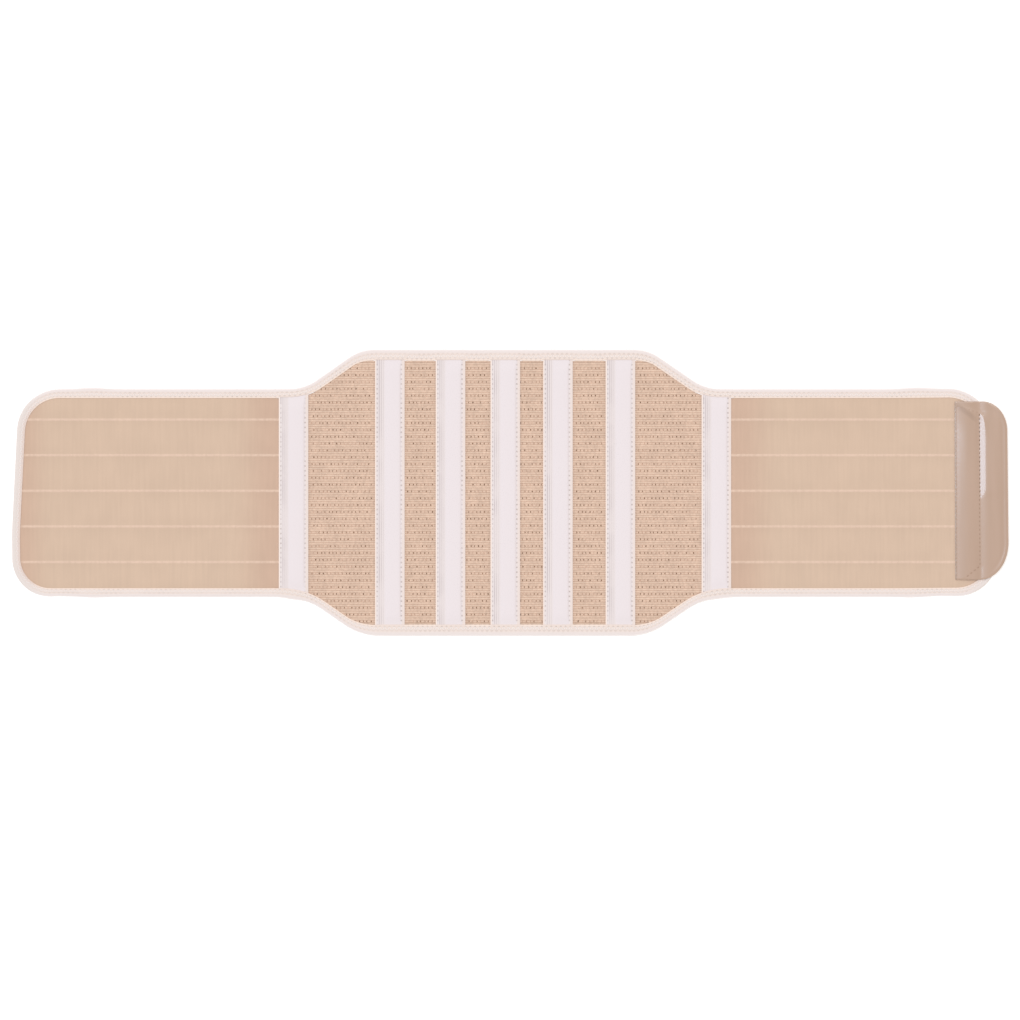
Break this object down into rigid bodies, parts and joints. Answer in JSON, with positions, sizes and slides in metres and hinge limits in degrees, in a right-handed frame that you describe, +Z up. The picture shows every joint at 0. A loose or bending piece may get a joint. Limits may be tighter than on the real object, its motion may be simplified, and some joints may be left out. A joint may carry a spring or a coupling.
{
  "type": "lumbosacral brace",
  "caption": "Flat lumbosacral support brace: ribbed knit back panel under sewn stay casings, elastic side wings, folded edge binding and a closure tab at one end.",
  "frame": {"origin": "middle of the back panel's underside, on the table the brace lies on", "axes": "+X along the belt towards the closure tab, +Y towards the upper edge, +Z up out of the table"},
  "size_m": [0.8683, 0.25, 0.0054],
  "materials": {
    "knit": "ribbed elastic knit with rows of small holes",
    "elastic": "close woven elastic with pale raised lines",
    "binding": "soft folded tape",
    "casing": "smooth woven tape",
    "tab": "smooth, softly glossy fastening tape"
  },
  "bodies": {
    "root": {"back_panel": "knit", "wing_left": "elastic", "wing_right": "elastic", "edge_binding": "binding", "stay_casing_1": "casing", "stay_casing_2": "casing", "stay_casing_3": "casing", "stay_casing_4": "casing", "stay_casing_5": "casing", "stay_casing_6": "casing", "stay_casing_7": "casing", "closure_tab": "tab"}
  },
  "joints": []
}
